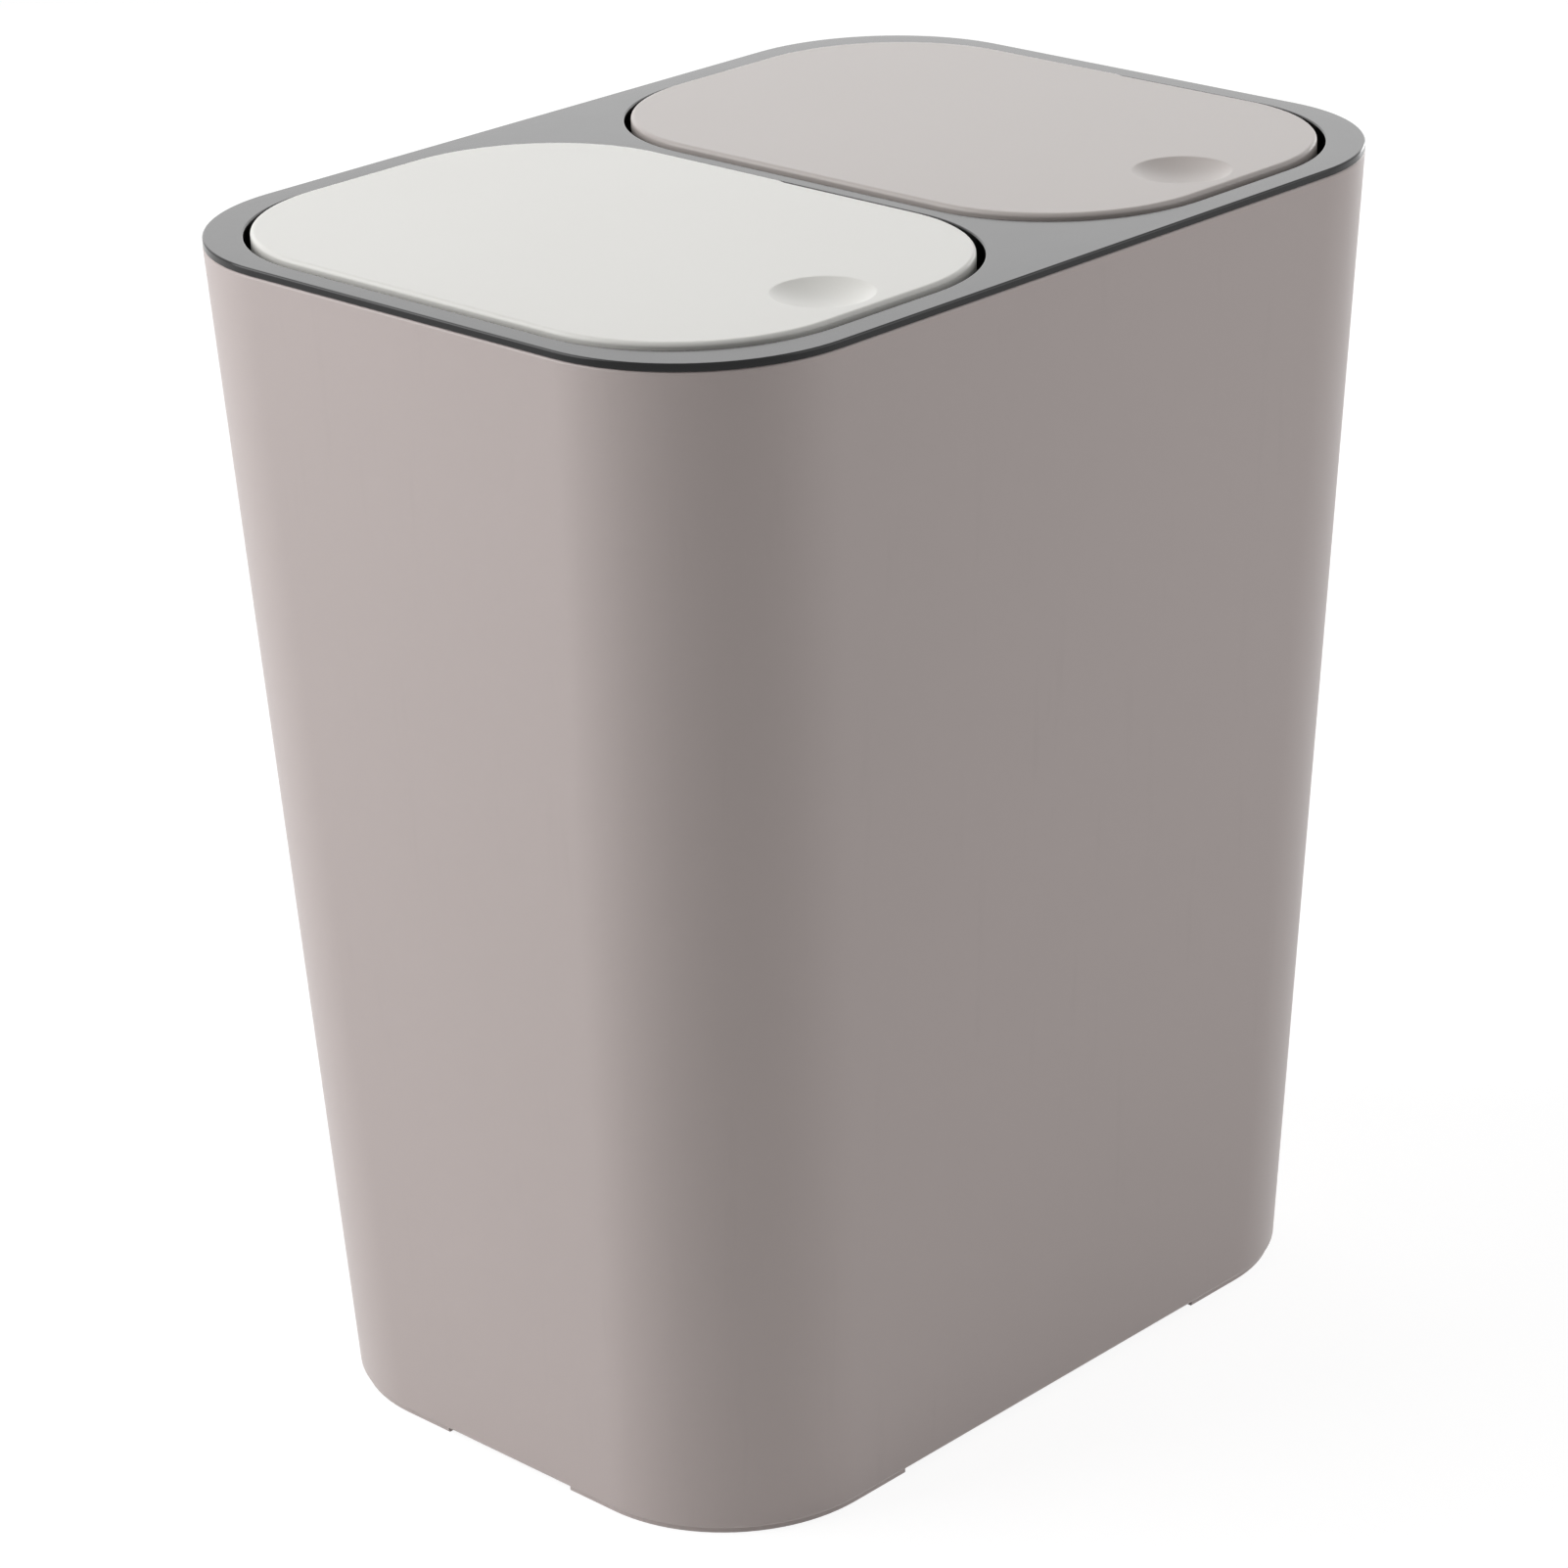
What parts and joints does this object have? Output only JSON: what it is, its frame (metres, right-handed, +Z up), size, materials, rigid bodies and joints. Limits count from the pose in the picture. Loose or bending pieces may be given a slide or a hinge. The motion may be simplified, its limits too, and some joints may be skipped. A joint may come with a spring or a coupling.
{
  "type": "double recycling bin",
  "caption": "Tapered household bin with rounded corners, two push-to-swing lids in one lift-off frame, and two lift-out inner buckets with bail handles.",
  "frame": {"origin": "centre of the outer body's footprint, on the floor it stands on", "axes": "+Z up; the front, where the lids are pushed, faces -Y; +X is to the right of a person who faces the front"},
  "size_m": [0.294, 0.212, 0.3413],
  "materials": {
    "body_plastic": "satin moulded polypropylene, mauve-taupe",
    "frame_plastic": "gloss moulded black",
    "white_lid_plastic": "satin moulded, warm white",
    "mauve_lid_plastic": "satin moulded, mauve-grey",
    "bucket_plastic": "matte moulded polypropylene, dark grey",
    "grip_plastic": "matte moulded sleeve",
    "bail_steel": "zinc-plated wire",
    "weight_steel": "plain steel bar"
  },
  "bodies": {
    "outer_body": {"outer_body": "body_plastic"},
    "lid_frame": {"lid_frame": "frame_plastic"},
    "left_lid": {"left_lid": "white_lid_plastic", "left_lid_counterweight": "weight_steel"},
    "right_lid": {"right_lid": "mauve_lid_plastic", "right_lid_counterweight": "weight_steel"},
    "left_bucket": {"left_inner_bucket": "bucket_plastic"},
    "right_bucket": {"right_inner_bucket": "bucket_plastic"},
    "left_bail": {"left_bail_wire": "bail_steel", "left_bail_grip": "grip_plastic"},
    "right_bail": {"right_bail_wire": "bail_steel", "right_bail_grip": "grip_plastic"}
  },
  "joints": [
    {"name": "frame_lift", "type": "slide", "parent": "outer_body", "child": "lid_frame", "axis": [0, 0, 1], "range_m": [0, 0.6]},
    {"name": "left_lid_swing", "type": "hinge", "parent": "lid_frame", "child": "left_lid", "pos_m": [-0.07125, 0, 0.333], "axis": [1, 0, 0], "range_deg": [0, 75]},
    {"name": "right_lid_swing", "type": "hinge", "parent": "lid_frame", "child": "right_lid", "pos_m": [0.07125, 0, 0.333], "axis": [1, 0, 0], "range_deg": [0, 75]},
    {"name": "left_bucket_lift", "type": "slide", "parent": "outer_body", "child": "left_bucket", "axis": [0, 0, 1], "range_m": [0, 0.3601]},
    {"name": "right_bucket_lift", "type": "slide", "parent": "outer_body", "child": "right_bucket", "axis": [0, 0, 1], "range_m": [0, 0.3601]},
    {"name": "left_bail_swing", "type": "hinge", "parent": "left_bucket", "child": "left_bail", "pos_m": [-0.07125, 0, 0.3174], "axis": [1, 0, 0], "range_deg": [0, 90.1]},
    {"name": "right_bail_swing", "type": "hinge", "parent": "right_bucket", "child": "right_bail", "pos_m": [0.07125, 0, 0.3174], "axis": [1, 0, 0], "range_deg": [0, 90.1]}
  ],
  "couplings": [
    {"joint": "left_bucket_lift", "follows": "frame_lift", "ratio": 0.6},
    {"joint": "right_bucket_lift", "follows": "frame_lift", "ratio": 0.6},
    {"joint": "left_bail_swing", "follows": "frame_lift", "rad_per_m": 2.618},
    {"joint": "right_bail_swing", "follows": "frame_lift", "rad_per_m": 2.618}
  ]
}
